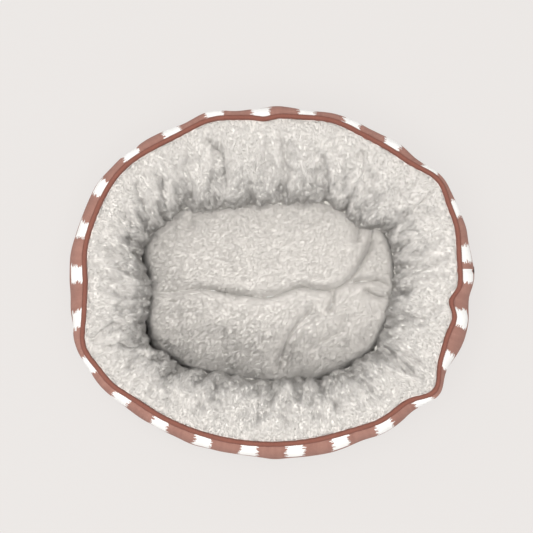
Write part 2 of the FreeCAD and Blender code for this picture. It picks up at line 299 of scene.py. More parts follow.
grip_dots.data.materials.append(rubber)
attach(grip_dots, "bed")


# ---- Base pad ------------------------------------------------------------------------------
# A foam pad lies between the base cover and the floor of the nest.
# It is closed in on all sides.

def foam_finish(name, dark, light):
    """Open-cell foam: pores of about a millimetre in a soft even colour."""
    finish, nodes, links, shader = new_material(name, 0.95)
    tree = finish.node_tree
    pores = nodes.new("ShaderNodeTexVoronoi")
    pores.inputs["Scale"].default_value = 700
    links.new(object_place(tree), pores.inputs["Vector"])
    links.new(mixed(tree, pores.outputs["Distance"], dark, light), shader.inputs["Base Color"])
    add_bump(tree, shader, pores.outputs["Distance"], 0.0006)
    return finish


foam = foam_finish("foam", (0.5, 0.47, 0.38, 1), (0.78, 0.75, 0.64, 1))
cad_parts["base_pad"].data.materials.clear()
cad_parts["base_pad"].data.materials.append(foam)


# ---- Base piping ---------------------------------------------------------------------------
# A cord wrapped in a strip of brown cotton runs round the bed in the seam of base and wall.
# The strip is cut on the bias, so its threads run slantwise, and its seam puckers it a little.

piping_low, piping_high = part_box("base_piping")
piping_radius = (piping_high.z - piping_low.z) / 2
piping_columns, piping_sides = 720, 10
piping_inset = half_length - piping_high.x + piping_radius
slow = np.random.default_rng(11).normal(size=piping_columns)


def smoothed(values, spread):
    """Random values round the bed made smooth over a number of columns, and scaled to at most 1."""
    window = np.exp(-np.linspace(-2, 2, 4 * spread + 1) ** 2)
    wrapped = np.concatenate([values[-2 * spread:], values, values[:2 * spread]])
    calm = np.convolve(wrapped, window / window.sum(), mode="valid")
    return calm / np.abs(calm).max()


def tube_rows(inset, height, radius, columns, sides):
    """Rings of a closed tube round the bed, one ring for each side of its section."""
    rows = []
    for side in range(sides):
        around = 2 * math.pi * side / sides
        rows.append(oval_row(inset - radius * math.cos(around), height + radius * math.sin(around), columns))
    return rows


piping_wander = 0.0008 * smoothed(slow, 8)
piping_size = piping_radius * (1 + 0.05 * np.sin(np.arange(piping_columns) * math.pi / 2))
piping_points = tube_rows(
    piping_inset + piping_wander,
    piping_low.z + piping_radius,
    piping_size,
    piping_columns,
    piping_sides,
)
piping = new_piece("piping", piping_points, ring_faces(piping_sides, piping_columns, closed=True))


def lay_pattern(piece, starts, step, across):
    """Gives a ring-built piece a UV map in metres.
    It takes where each column starts, its width, and the rows' edges."""
    u = np.stack([starts, starts + step, starts + step, starts], 1)
    v = np.stack([across[:-1], across[:-1], across[1:], across[1:]], 1)
    u = np.broadcast_to(u, (len(v), len(starts), 4))
    v = np.broadcast_to(v[:, None, :], (len(v), len(starts), 4))
    layer = piece.data.uv_layers.new(name="cloth")
    layer.data.foreach_set("uv", np.stack([u, v], 3).astype(np.float32).ravel())


def uv_place(tree, name="cloth"):
    """The socket that gives a place on the cloth, in metres along and across it."""
    node = tree.nodes.new("ShaderNodeUVMap")
    node.uv_map = name
    return node.outputs[0]


def bias_finish(name, dark, light, worn):
    """Cotton cut on the bias: slanting threads, darker in the hollows and worn paler in patches."""
    finish, nodes, links, shader = new_material(name, 0.85)
    tree = finish.node_tree
    turn = nodes.new("ShaderNodeMapping")
    turn.inputs["Rotation"].default_value = (0, 0, math.radians(38))
    links.new(uv_place(tree), turn.inputs["Vector"])
    height, shade = woven(tree, turn.outputs[0], 0.0007)
    patches = noise_value(tree, object_place(tree), 55, 4, 0.6)
    colour = mixed(tree, shade, dark, light)
    worn_share = math_node(tree, "MULTIPLY", patches, 0.45)
    links.new(mixed(tree, worn_share, colour, worn), shader.inputs["Base Color"])
    add_bump(tree, shader, height, 0.00025)
    return finish


binding_cotton = bias_finish(
    "binding_cotton", (0.08, 0.024, 0.015, 1), (0.215, 0.068, 0.045, 1), (0.245, 0.098, 0.07, 1)
)
piping_step = perimeter / piping_columns
piping_round = np.linspace(0, 2 * math.pi * piping_radius, piping_sides + 1)
lay_pattern(piping, np.arange(piping_columns) * piping_step, piping_step, piping_round)
face_outwards(piping, close=False)
piping.data.materials.append(binding_cotton)
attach(piping, "bed")
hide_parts("base_piping")


# ---- Outer wall ----------------------------------------------------------------------------
# The wall is one long strip of printed cotton, sewn shut at the bed's right end.
# It swells over the foam behind it, puckers at both seams and falls in soft upright folds.

wall_columns = 720
roll_radius = 0.05
roll_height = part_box("bolster_plush_cover")[1].z - roll_radius
belly_height = 0.06
foot_inset, foot_height = 0.0046, 0.0065
seam_angle = math.radians(56)
wall_line = oval(0, wall_columns)
bearing = np.degrees(np.arctan2(wall_line[:, 1] / half_width, wall_line[:, 0] / half_length)) % 360


def pulls(bearing, marks):
    """Smooth pulls round the bed, in metres.
    Each mark is a bearing, an amount in mm and a spread in degrees."""
    total = np.zeros(len(bearing))
    for at, amount, spread in marks:
        apart = (bearing - at + 180) % 360 - 180
        total += amount / 1000 * np.exp(-(apart / spread) ** 2)
    return total


# Where the stuffing pushes the wall out or lets it fall in: bearing, mm outwards, spread in degrees.
belly_marks = [
    (35, -12.0, 12), (52, -6.0, 8), (72, -10.0, 11), (98, -8.0, 12), (115, -5.0, 11), (132, -4.0, 8),
    (160, -2.0, 12), (180, -3.0, 12), (203, -3.0, 9), (218, -5.0, 7), (236, -7.5, 10), (258, -6.5, 12),
    (282, -2.5, 8), (300, -3.5, 7), (323, -11.0, 9), (352, -5.0, 9), (10, -3.0, 8),
]
# The same for the seam at the rim, which wanders more than the wall does.
seam_marks = [
    (4, -1.0, 7), (20, 6.0, 8), (34, 13.0, 8), (50, 0.5, 5), (72, 5.0, 9), (87, 1.0, 6),
    (92, -3.0, 3), (108, 6.0, 8), (140, 5.0, 12), (181, -5.0, 9), (203, 13.0, 8), (216, 8.0, 8),
    (272, 0.0, 12), (304, 4.0, 8), (322, 17.0, 6), (340, -4.0, 6), (352, -10.0, 4),
]


def wall_profile(steps):
    """Inset, height, outward share and rise of the wall from the rim seam down, with the way along it."""
    angles = np.linspace(seam_angle, 0, steps[0])
    inset = list(roll_radius * (1 - np.cos(angles)))
    height = list(roll_height + roll_radius * np.sin(angles))
    outward = list(np.cos(angles))
    upward = list(np.sin(angles))
    for share in np.linspace(0, 1, steps[1] + 1)[1:]:
        inset.append(0.0)
        height.append(roll_height + (belly_height - roll_height) * share)
        outward.append(1.0)
        upward.append(0.0)
    lean = math.atan2(foot_inset, belly_height - foot_height)
    for share in np.linspace(0, 1, steps[2] + 1)[1:]:
        inset.append(foot_inset * share)
        height.append(belly_height + (foot_height - belly_height) * share)
        outward.append(math.cos(lean * share))
        upward.append(-math.sin(lean * share))
    inset, height = np.array(inset), np.array(height)
    way = np.concatenate([[0], np.cumsum(np.hypot(np.diff(inset), np.diff(height)))])
    return inset, height, np.array(outward), np.array(upward), way


def ease(value):
    """A smooth step from 0 to 1."""
    value = np.clip(value, 0, 1)
    return value * value * (3 - 2 * value)


def ripple(columns, lowest, highest, count, seed):
    """Waves round the bed from several whole numbers of waves, at most 1 high."""
    draw = np.random.default_rng(seed)
    place = np.arange(columns) / columns * 2 * math.pi
    total = np.zeros(columns)
    for waves, start in zip(draw.integers(lowest, highest, count), draw.uniform(0, 2 * math.pi, count)):
        total += np.sin(place * waves + start)
    return total / np.abs(total).max()


pucker_top = ripple(wall_columns, 90, 150, 9, 21)
pucker_foot = ripple(wall_columns, 80, 140, 9, 22)
seam_height_wave = 0.0012 * ripple(wall_columns, 7, 30, 8, 23)
wall_waves = [
    (ripple(wall_columns, 9, 26, 8, 31), 0.0024),
    (ripple(wall_columns, 20, 48, 9, 32), 0.0013),
]


side_seam = 0.0125                      # along the wall from the middle of the right end
wall_step = perimeter / wall_columns
from_seam = (np.arange(wall_columns) * wall_step - side_seam + perimeter / 2) % perimeter - perimeter / 2
side_seam_sink = 0.0016 * np.exp(-(from_seam / 0.0022) ** 2)


def wall_swell(way, length):
    """How far the cotton stands off its even surface at each column, on the way down from the seam."""
    share = way / length
    drift = np.roll(wall_waves[1][0], int(40 * share))
    folds = wall_waves[0][0] * wall_waves[0][1] * (0.35 + 0.65 * math.sin(math.pi * min(share * 1.1, 1)))
    folds = folds + drift * wall_waves[1][1] * (0.4 + 0.6 * share)
    top = 0.0009 * pucker_top * math.exp(-way / 0.010)
    foot = 0.0012 * pucker_foot * math.exp(-(length - way) / 0.014)
    sewn = 0.0022 * (math.exp(-way / 0.006) + math.exp(-(length - way) / 0.005)) + side_seam_sink
    return folds * (1 - math.exp(-way / 0.012)) + top + foot - sewn


def wall_row(inset, height, outward, upward, way, length, depth=0.0):
    """One ring of the wall, depth below the cotton's own surface."""
    swell = wall_swell(way, length) - depth
    belly = pulls(bearing, belly_marks) * ease((height - 0.01) / 0.06)
    seam = pulls(bearing, seam_marks)
    to_seam = float(ease((height - 0.1) / (roll_height + roll_radius * math.sin(seam_angle) - 0.1)))
    reach = inset - belly * (1 - to_seam) - seam * to_seam - outward * swell
    return oval_row(reach, height + upward * swell + seam_height_wave * to_seam, wall_columns)


profile = wall_profile((16, 14, 16))
wall_length = profile[-1][-1]
wall_rows = [wall_row(*values, wall_length) for values in zip(*profile)]
wall_cloth = new_piece("wall_cloth", wall_rows, ring_faces(len(wall_rows), wall_columns))
wall_starts = (np.arange(wall_columns) * wall_step - side_seam) % perimeter
lay_pattern(wall_cloth, wall_starts, wall_step, profile[-1])
form = bmesh.new()
form.from_mesh(wall_cloth.data)
bmesh.ops.reverse_faces(form, faces=form.faces[:])
form.to_mesh(wall_cloth.data)
form.free()
wall_cloth.modifiers.new("thickness", "SOLIDIFY").thickness = 0.0011
apply_modifiers(wall_cloth)


def printed_finish():
    """Brown cotton printed with rows of short white dashes whose ends are ragged, thread by thread, with
    upright streaks of painted shade and light that stand for soft folds.
    """
    finish, nodes, links, shader = new_material("printed_cotton", 0.88)
    tree = finish.node_tree
    place = uv_place(tree)
    split = nodes.new("ShaderNodeSeparateXYZ")
    links.new(place, split.inputs[0])
    along, down = split.outputs[0], split.outputs[1]
    pitch, row_pitch, dash_half, dash_share = 0.0583, 0.056, 0.0109, 0.25
    first_row = 0.009
    rows = math_node(tree, "DIVIDE", math_node(tree, "ADD", down, first_row), row_pitch)
    row = math_node(tree, "FLOOR", rows)
    stagger = math_node(tree, "MULTIPLY", math_node(tree, "MODULO", row, 2), 0.5)
    phase = math_node(tree, "ADD", math_node(tree, "DIVIDE", along, pitch), stagger)
    across = math_node(tree, "FRACT", math_node(tree, "ADD", phase, 0.128))
    aside = math_node(tree, "MULTIPLY", math_node(tree, "SUBTRACT", across, 0.5), pitch)
    level = math_node(tree, "ABSOLUTE", math_node(tree, "SUBTRACT", math_node(tree, "FRACT", rows), 0.5))
    threads = nodes.new("ShaderNodeCombineXYZ")
    links.new(math_node(tree, "FLOOR", math_node(tree, "DIVIDE", down, 0.0011)), threads.inputs[0])
    links.new(math_node(tree, "FLOOR", phase), threads.inputs[1])
    links.new(math_node(tree, "SIGN", aside), threads.inputs[2])
    fringe = nodes.new("ShaderNodeTexWhiteNoise")
    links.new(threads.outputs[0], fringe.inputs["Vector"])
    slow = nodes.new("ShaderNodeCombineXYZ")
    links.new(math_node(tree, "MULTIPLY", down, 160), slow.inputs[0])
    links.new(math_node(tree, "MULTIPLY", math_node(tree, "FLOOR", phase), 7.3), slow.inputs[1])
    links.new(math_node(tree, "MULTIPLY", math_node(tree, "SIGN", aside), 3.1), slow.inputs[2])
    drift = noise_value(tree, slow.outputs[0], 1.0, 2)
    drifted = math_node(tree, "MULTIPLY", drift, 0.011)
    ragged = math_node(tree, "MULTIPLY_ADD", fringe.outputs[0], 0.0048, drifted)
    width = math_node(tree, "ADD", ragged, dash_half - 0.0079)
    inside = math_node(tree, "LESS_THAN", math_node(tree, "ABSOLUTE", aside), width)
    dash = math_node(tree, "MULTIPLY", inside, math_node(tree, "LESS_THAN", level, dash_share))
    height, shade = woven(tree, place, 0.00055)
    patches = noise_value(tree, object_place(tree), 38, 4, 0.55)
    # Painted shade and light: upright streaks, narrow along the wall and long down it, make the brown and the
    # white darker and paler in bands, as soft folds would look under the light.
    fold_streak_place = nodes.new("ShaderNodeCombineXYZ")
    links.new(math_node(tree, "MULTIPLY", along, 150), fold_streak_place.inputs[0])
    links.new(math_node(tree, "MULTIPLY", down, 18), fold_streak_place.inputs[1])
    painted_fold_shade = noise_value(tree, fold_streak_place.outputs[0], 1.0, 3, 0.6)
    patches_and_fold_shade = math_node(tree, "MULTIPLY_ADD", patches, 0.3, math_node(tree, "MULTIPLY", painted_fold_shade, 0.5))
    tone = math_node(tree, "MULTIPLY_ADD", shade, 0.3, patches_and_fold_shade)
    brown = mixed(tree, tone, (0.14, 0.052, 0.038, 1), (0.405, 0.215, 0.17, 1))
    white = mixed(tree, tone, (0.7, 0.69, 0.67, 1), (0.85, 0.85, 0.84, 1))
    links.new(mixed(tree, dash, brown, white), shader.inputs["Base Color"])
    add_bump(tree, shader, height, 0.0002)
    return finish


wall_cloth.data.materials.append(printed_finish())
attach(wall_cloth, "bed")
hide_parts("outer_wall_cover")


# ---- Wall foam -----------------------------------------------------------------------------
# A sheet of foam stands inside the cotton and keeps the wall up. It takes the cotton's curves,
# and both of its edges stop short of the seams.

foam_gap, foam_thickness = 0.0022, 0.014
foam_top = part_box("wall_foam")[1].z - 0.003
foam_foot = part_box("wall_foam")[0].z
foam_steps = [v for v in zip(*profile) if foam_foot < v[1] < foam_top][::2]
foam_rows = [wall_row(*values, wall_length, depth=foam_gap) for values in foam_steps]
foam_back = foam_gap + foam_thickness
foam_rows += [wall_row(*values, wall_length, depth=foam_back) for values in reversed(foam_steps)]
foam_wall = new_piece("foam_wall", foam_rows, ring_faces(len(foam_rows), wall_columns, closed=True))
face_outwards(foam_wall, close=False)
foam_wall.data.materials.append(foam)
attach(foam_wall, "bed")
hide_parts("wall_foam")


# ---- Plush roll ----------------------------------------------------------------------------
# A strip of short-pile plush is sewn into the rim seam, laid inwards over the stuffing and
# gathered by the elastic in its hem. The strip is as long at the hem as at the seam, so it falls
# into soft pleats: it starts as a straight band above the seam, its hem is drawn over and in,
# and the stuffing swells it while the cloth settles.

roll_columns, roll_strips = 360, 26
skin_radius = 0.0435
start_angle, hem_angle = math.radians(60), math.radians(203)
lip_shift = -0.006                      # the hem's ring lies this far towards the front
draw_frames, settle_frames = 22, 12
roll_bearing = bearing[:: wall_columns // roll_columns]
# Where the plush gathers into the longest pleats: bearing, depth in mm and spread in degrees.
pleat_marks = [
    (8, 10, 3.0), (21, 5, 2.4), (32, 11, 2.6), (46, 5, 2.4), (58, 10, 2.6), (69, 9, 2.6),
    (85, 11, 2.8), (97, 4, 2.4), (109, 12, 2.6), (116, 8, 2.2), (124, 8, 2.6), (134, 8, 2.6), (147, 7, 2.8),
    (159, 9, 2.8), (172, 5, 2.8), (187, 9, 2.8), (201, 11, 2.8), (209, 8, 2.4), (229, 9, 2.6), (243, 4, 2.4),
    (265, 11, 2.8), (278, 6, 2.4), (291, 7, 2.6), (305, 8, 2.6), (323, 12, 2.8), (343, 8, 2.8), (357, 6, 2.6),
]
pleats = pulls(roll_bearing, [(at, -depth, spread) for at, depth, spread in pleat_marks])
fine_gathers = 0.0024 * ripple(roll_columns, 24, 60, 12, 41)
strip_shares = np.linspace(0, 1, roll_strips)
outwards = directions(roll_columns)
band_rows, sewn_rows = [], []
for share in strip_shares:
    angle = start_angle + (hem_angle - start_angle) * share
    reach = roll_radius - skin_radius * math.cos(angle)
    sewn_rows.append(oval_row(reach, roll_height + skin_radius * math.sin(angle), roll_columns))
    band = sewn_rows[0].copy()
    band[:, 2] += skin_radius * (angle - start_angle)
    band[:, :2] += outwards * ((pleats + fine_gathers) * share)[:, None]
    band_rows.append(band)
skin = new_piece("plush_roll", band_rows, ring_faces(roll_strips, roll_columns))
skin.shape_key_add(name="flat")
drawn = skin.shape_key_add(name="drawn")
drawn.data.foreach_set("co", np.asarray(sewn_rows).ravel())
drawn.value = 0
drawn.keyframe_insert("value", frame=1)
drawn.value = 1
drawn.keyframe_insert("value", frame=draw_frames)
held = skin.vertex_groups.new(name="sewn")
held.add(list(range(roll_columns)), 1.0, "REPLACE")
held.add(list(range((roll_strips - 1) * roll_columns, roll_strips * roll_columns)), 1.0, "REPLACE")

core_radius, core_columns, core_sides = 0.034, 160, 20
core_rows = tube_rows(roll_radius, roll_height, core_radius, core_columns, core_sides)
core = new_piece("stuffing_core", core_rows, ring_faces(core_sides, core_columns, closed=True))
face_outwards(core, close=False)
core.modifiers.new("touch", "COLLISION")
core.collision.thickness_outer = 0.002

cloth = skin.modifiers.new("cloth", "CLOTH")
cloth.settings.quality = 5
cloth.settings.mass = 0.1
cloth.settings.bending_stiffness = 50
cloth.settings.tension_damping = 8
cloth.settings.compression_damping = 8
cloth.settings.bending_damping = 0.8
cloth.settings.vertex_group_mass = "sewn"
cloth.settings.use_pressure = True
cloth.settings.uniform_pressure_force = 400
cloth.settings.effector_weights.gravity = 0
cloth.settings.air_damping = 2
cloth.collision_settings.distance_min = 0.002
cloth.collision_settings.use_self_collision = False
cloth.point_cache.frame_end = draw_frames + settle_frames
for step in range(1, draw_frames + settle_frames + 1):
    bpy.context.scene.frame_set(step)
settled = skin.evaluated_get(bpy.context.evaluated_depsgraph_get())
skin_points = np.zeros(roll_columns * roll_strips * 3)
settled.data.vertices.foreach_get("co", skin_points)
skin_points = skin_points.reshape(roll_strips, roll_columns, 3)
bpy.data.objects.remove(skin)
bpy.data.objects.remove(core)
bpy.context.scene.frame_set(1)


def finer(points, times):
    """Points between the rows, and between the columns round the bed, along smooth curves."""
    for axis in (1, 0):
        if axis == 1:
            ahead = [np.roll(points, -k, axis=1) for k in (-1, 0, 1, 2)]
        else:
            padded_rows = np.concatenate([
                2 * points[:1] - points[1:2], points, 2 * points[-1:] - points[-2:-1],
            ])
            ahead = [padded_rows[k:len(padded_rows) - 3 + k] for k in range(4)]
        made = []
        for share in np.arange(times[axis]) / times[axis]:
            a, b, c, d = ahead
            bend = 2 * a - 5 * b + 4 * c - d + share * (3 * (b - c) + d - a)
            curve = b + 0.5 * share * (c - a + share * bend)
            made.append(curve)
        stacked = np.stack(made, axis + 1)
        if axis == 1:
            points = stacked.reshape(points.shape[0], -1, 3)
        else:
            points = np.concatenate([stacked.reshape(-1, points.shape[1], 3), points[-1:]])
    return points


# The roll as sewn isn't even: its seam follows the rim, its lip reaches further in at some
# bearings than at others (mm inwards), and the pleats slant (degrees at the lip).
lip_marks = [
    (20, -6, 12), (33, -9, 8), (46, 10, 9), (71, -3, 8), (88, 16, 22), (105, 6, 8), (119, 8, 9),
    (129, -10, 8), (152, -15, 15), (165, -7, 9), (180, 4, 9), (199, -8, 9), (211, -19, 9),
    (228, -11, 10), (258, 6, 10), (279, 5, 10),
    (291, -6, 6), (305, -3, 9), (322, -5, 8), (350, 3, 10),
]
slant_marks = [
    (64, -4, 12), (111, 8, 12), (137, 8, 12), (200, -3, 9), (268, 8, 9), (296, -4, 9), (345, -4, 8),
]
softening = np.array([0.25, 0.5, 0.25])


def softened(points, rounds):
    """Evens out a ring-built skin, along and across, with its first and last rows kept."""
    for _ in range(rounds):
        points = sum(w * np.roll(points, k, axis=1) for w, k in zip(softening, (-1, 0, 1)))
        points[1:-1] = sum(w * points[1 + k:len(points) - 1 + k] for w, k in zip(softening, (-1, 0, 1)))
    return points


def moved_round(points, columns_on):
    """Points of a ring-built skin read a little further round the bed, by a number of columns at each."""
    count = points.shape[1]
    moved = np.zeros_like(points)
    for row in range(len(points)):
        places = (np.arange(count) - columns_on[row]) % count
        for axis in range(3):
            closed_row = np.append(points[row, :, axis], points[row, 0, axis])
            moved[row, :, axis] = np.interp(places, np.arange(count + 1), closed_row)
    return moved


skin_points = softened(skin_points, 1)
even = np.array([oval_row(roll_radius, roll_height, roll_columns)] * roll_strips)
section = skin_points - even
radial = (section[..., :2] * outwards).sum(2)
slant = pulls(roll_bearing, slant_marks) * 1000 / 360 * roll_columns
shift = strip_shares[:, None] ** 1.2 * slant[None]
radial, lift = (moved_round(np.stack([v] * 3, 2), shift)[..., 0] for v in (radial, section[..., 2]))
seam_share = (1 - strip_shares[:, None]) ** 1.6
lip_share = ease(strip_shares / 0.85)[:, None]
lip_draw = pulls(roll_bearing, lip_marks) + 0.004
reach = radial + pulls(roll_bearing, seam_marks) * seam_share - lip_draw * lip_share
scallops = 0.0018 * ripple(roll_columns, 40, 110, 16, 43) + 0.0025
reach = reach - scallops * ease((strip_shares - 0.6) / 0.35)[:, None]
skin_points[..., :2] = even[..., :2] + outwards * reach[..., None]
skin_points[..., 1] += lip_shift * lip_share
skin_points[..., 2] = roll_height + lift
to_binding = (1 - strip_shares[:, None]) ** 6
skin_points[..., :2] += outwards * (0.0052 * to_binding)[..., None]
skin_points[..., 2] -= 0.0006 * to_binding
skin_rows = finer(skin_points, (3, 4))


def smooth_path(points):
    """A path of a few points as many points along a smooth curve."""
    corners = np.array(points, float)[:, None, :]
    return finer(np.concatenate([corners, np.zeros((len(corners), 1, 1))], 2), (12, 1))[:, 0, :2]


def crease_depth(places, path, depth, shoulder, lift):
    """How deep a crease is at places near its path: a narrow cleft with rounded shoulders.
    The path is in metres, the rest in mm; lift raises the cloth on the path's left."""
    line = smooth_path(path)
    starts, ends = line[:-1], line[1:]
    span = ends - starts
    relative = places[:, None] - starts[None]
    share = np.clip((relative * span).sum(2) / (span ** 2).sum(1), 0, 1)
    apart = np.linalg.norm(relative - share[..., None] * span, axis=2)
    nearest = apart.argmin(1)
    row = np.arange(len(places))
    distance = apart[row, nearest]
    along = (nearest + share[row, nearest]) / len(span)
    near_span, near_place = span[nearest], relative[row, nearest]
    side = np.sign(near_span[:, 0] * near_place[:, 1] - near_span[:, 1] * near_place[:, 0])
    fade = ease(along / 0.2) * ease((1 - along) / 0.2)
    sharp = 0.55 if depth > 4 else 0.0
    hollow = np.exp(-(distance / (shoulder / 1000)) ** 1.5)
    cleft = sharp * np.exp(-distance / 0.0022) + (1 - sharp) * hollow
    ridge = np.exp(-((distance * side - 0.008) / 0.006) ** 2) * lift
    return fade * (cleft * depth - ridge) / 1000


# Tucks that the pleats close into: bearing and share of the strip at each point, depth and shoulder in mm.
tucks = [
    ([(8, 0.12), (6, 0.4), (4, 0.75)], 5, 6), ([(22, 0.3), (21, 0.45), (21, 0.6)], 3, 4),
    ([(34, 0.03), (31, 0.3), (30, 0.6)], 7, 7), ([(36, 0.4), (37, 0.55), (36, 0.75)], 3, 4),
    ([(61, 0.08), (57.5, 0.25), (57, 0.5)], 7, 6), ([(73, 0.25), (69, 0.5), (66, 0.78)], 5, 6),
    ([(88, 0.08), (84, 0.45), (86, 0.8)], 6, 7), ([(112, 0.08), (107.5, 0.3), (110, 0.66)], 10, 8),
    ([(113, 0.4), (115, 0.6), (119, 0.84)], 7, 6), ([(117, 0.08), (122, 0.5), (127, 0.84)], 6, 7),
    ([(129, 0.2), (134, 0.5), (141, 0.86)], 6, 6), ([(139, 0.12), (145, 0.5), (152, 0.86)], 5, 7),
    ([(153, 0.1), (156, 0.35), (160, 0.65)], 5, 6), ([(163, 0.3), (167, 0.55), (172, 0.8)], 4, 6),
    ([(190, 0.25), (192, 0.45), (193, 0.65)], 4, 6), ([(202, 0.03), (199, 0.25), (200, 0.5)], 7, 6),
    ([(205, 0.1), (207, 0.35), (211, 0.62)], 6, 6), ([(217, 0.15), (215, 0.35), (215, 0.55)], 4, 5),
    ([(228, 0.35), (229, 0.6), (232, 0.84)], 5, 6), ([(265, 0.1), (266, 0.4), (264, 0.84)], 7, 7),
    ([(278, 0.12), (281, 0.5), (285, 0.84)], 4, 6), ([(291, 0.12), (294, 0.5), (298, 0.84)], 5, 6),
    ([(304, 0.12), (307, 0.5), (310, 0.84)], 4, 6), ([(322, 0.05), (323, 0.4), (324, 0.84)], 9, 8),
    ([(327, 0.12), (326, 0.35), (325, 0.6)], 5, 5), ([(346, 0.15), (343, 0.4), (340, 0.66)], 5, 7),
    ([(353, 0.4), (355, 0.6), (356, 0.84)], 4, 6),
]
degree = 0.0032                          # metres of plush for each degree of bearing
strip_length = skin_radius * (hem_angle - start_angle)
fine_rows, fine_columns = skin_rows.shape[:2]
rising_bearing = np.append(np.where(np.arange(roll_columns) > 0, roll_bearing, 0), 360)
fine_places = np.arange(fine_columns) / fine_columns * roll_columns
fine_bearing = np.interp(fine_places, np.arange(roll_columns + 1), rising_bearing)
fine_shares = np.linspace(0, 1, fine_rows)
tuck_depths = np.zeros((fine_rows, fine_columns))
for path, depth, shoulder in tucks:
    reach_to = [at for at, _ in path]
    near = np.abs((fine_bearing - sum(reach_to) / 3 + 180) % 360 - 180) < 20
    places = np.stack(np.meshgrid(fine_shares * strip_length, fine_bearing[near] * degree, indexing="ij"), 2)
    line = [(share * strip_length, at * degree) for at, share in path]
    depths = crease_depth(places.reshape(-1, 2), line, depth, shoulder, 0)
    tuck_depths[:, near] = np.maximum(tuck_depths[:, near], depths.reshape(fine_rows, -1))


def grid_normals(points, turn=1.0):
    """Normals of rings of points; turn is -1 where the rows run the other way."""
    along = np.roll(points, -1, axis=1) - np.roll(points, 1, axis=1)
    across = np.gradient(points, axis=0)
    normal = np.cross(across, along) * turn
    return normal / np.linalg.norm(normal, axis=2, keepdims=True)


def tousled(points, normals, scales, depths):
    """Moves points along their normals by noise.
    These are the hollows and rises of a pile that has been stroked."""
    flat = points.reshape(-1, 3)
    rise = np.zeros(len(flat))
    for scale, depth in zip(scales, depths):
        rise += depth * np.array([noise.noise(Vector(p) * scale) for p in flat])
    return points + normals * rise.reshape(points.shape[:-1])[..., None]


def add_pile(piece, naps, tufts, length, half_width, wander, seed):
    """Covers a plush piece with slim tufts that lean with the nap, in clumps, and marks root and tip."""
    mesh = piece.data
    draw = np.random.default_rng(seed)
    count = len(mesh.vertices)
    places = np.zeros(count * 3)
    mesh.vertices.foreach_get("co", places)
    places = places.reshape(-1, 3)
    normals = np.zeros(count * 3)
    mesh.vertices.foreach_get("normal", normals)
    normals = normals.reshape(-1, 3)
    mesh.calc_loop_triangles()
    corners = np.zeros(len(mesh.loop_triangles) * 3, int)
    mesh.loop_triangles.foreach_get("vertices", corners)
    corners = corners.reshape(-1, 3)
    a, b, c = (places[corners[:, k]] for k in range(3))
    turned = np.cross(b - a, c - a)
    size = np.linalg.norm(turned, axis=1)
    chance = size * (turned[:, 2] > -0.4 * size)
    chosen = corners[draw.choice(len(corners), tufts, p=chance / chance.sum())]
    share = draw.dirichlet((1, 1, 1), tufts)[:, :, None]
    root = (places[chosen] * share).sum(1)
    up = (normals[chosen] * share).sum(1)
    up /= np.linalg.norm(up, axis=1, keepdims=True)
    nap = (naps[chosen] * share).sum(1)
    swirl = np.array([noise.noise_vector(Vector(p) * 75) for p in root])
    fine = np.array([noise.noise_vector(Vector(p) * 260) for p in root])
    nap = nap + wander * (swirl + 0.6 * fine) + 0.2 * draw.normal(size=(tufts, 3))
    nap -= up * (nap * up).sum(1, keepdims=True)
    nap /= np.linalg.norm(nap, axis=1, keepdims=True)
    beside = np.cross(up, nap)
    lean = np.radians(draw.normal(73, 6, (tufts, 1)) + 10 * fine[:, :1])
    reach = length * draw.uniform(0.75, 1.2, (tufts, 1))
    tip = root + reach * (up * np.cos(lean) + nap * np.sin(lean))
    half = half_width * draw.uniform(0.7, 1.3, (tufts, 1))
    foot = root - up * 0.0004
    tuft_points = np.stack([foot + beside * half, foot - beside * half, foot - nap * half * 1.4, tip], 1)
    tuft_faces = np.array([[0, 1, 3], [1, 2, 3], [2, 0, 3], [0, 2, 1]])
    first = np.arange(tufts)[:, None, None] * 4
    tuft_mesh = bpy.data.meshes.new("tufts")
    all_faces = (first + tuft_faces).reshape(-1, 3)
    tuft_mesh.from_pydata(tuft_points.reshape(-1, 3).tolist(), [], all_faces.tolist())
    tuft_mesh.shade_smooth()
    # The pile mark runs from 0 at a tuft's foot to 1 at its tip, and the skin takes 0.3; plush_finish paints
    # low marks darker as shade deep in the pile.
    tip_mark = tuft_mesh.attributes.new("pile", "FLOAT", "POINT")
    tip_mark.data.foreach_set("value", np.tile([0.0, 0.0, 0.0, 1.0], tufts).astype(np.float32))
    tip_lie = tuft_mesh.attributes.new("lie", "FLOAT_VECTOR", "POINT")
    tip_lie.data.foreach_set("vector", np.repeat(up, 4, axis=0).ravel())
    skin_lie = mesh.attributes.new("lie", "FLOAT_VECTOR", "POINT")
    skin_lie.data.foreach_set("vector", normals.ravel())
    skin_mark = mesh.attributes.new("pile", "FLOAT", "POINT")
    skin_mark.data.foreach_set("value", np.full(count, 0.3, np.float32))
    tufts_object = bpy.data.objects.new("tufts", tuft_mesh)
    bpy.context.collection.objects.link(tufts_object)
    bpy.ops.object.select_all(action="DESELECT")
    tufts_object.select_set(True)
    piece.select_set(True)
    bpy.context.view_layer.objects.active = piece
    bpy.ops.object.join()
    piece.select_set(False)


